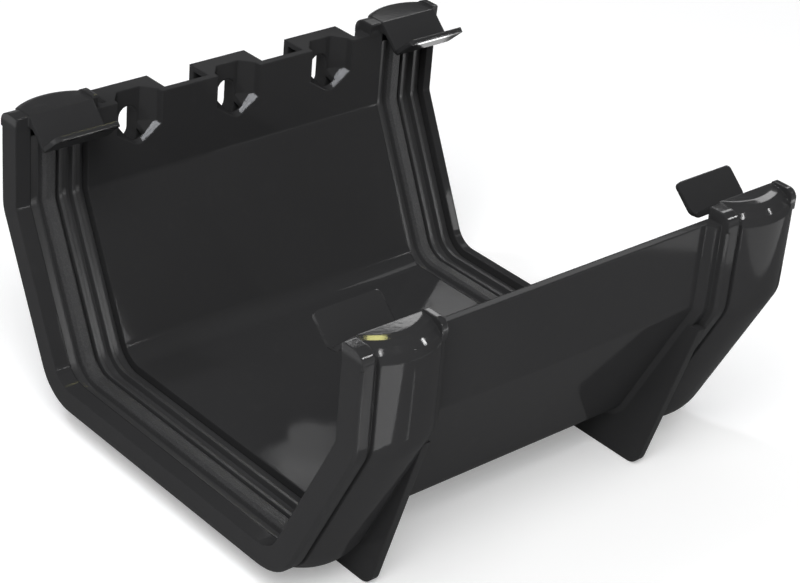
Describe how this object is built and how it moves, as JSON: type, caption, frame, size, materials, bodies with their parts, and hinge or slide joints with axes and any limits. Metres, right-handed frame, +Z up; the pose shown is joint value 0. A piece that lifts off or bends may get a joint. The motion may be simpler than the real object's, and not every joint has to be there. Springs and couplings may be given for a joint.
{
  "type": "square gutter union",
  "caption": "Union that clips two lengths of square rain gutter together over rubber seals and screws to the fascia through slotted pockets.",
  "frame": {"origin": "mid length and mid width of the trough, level with the top of its walls", "axes": "+X along the gutter, +Y towards the fascia, +Z up"},
  "size_m": [0.1246, 0.1313, 0.0717],
  "materials": {
    "body": "glossy black moulded plastic",
    "seal": "satin black rubber with a grainy broad rib"
  },
  "bodies": {
    "root": {"union_body": "body", "seal_left": "seal", "seal_right": "seal"}
  },
  "joints": []
}
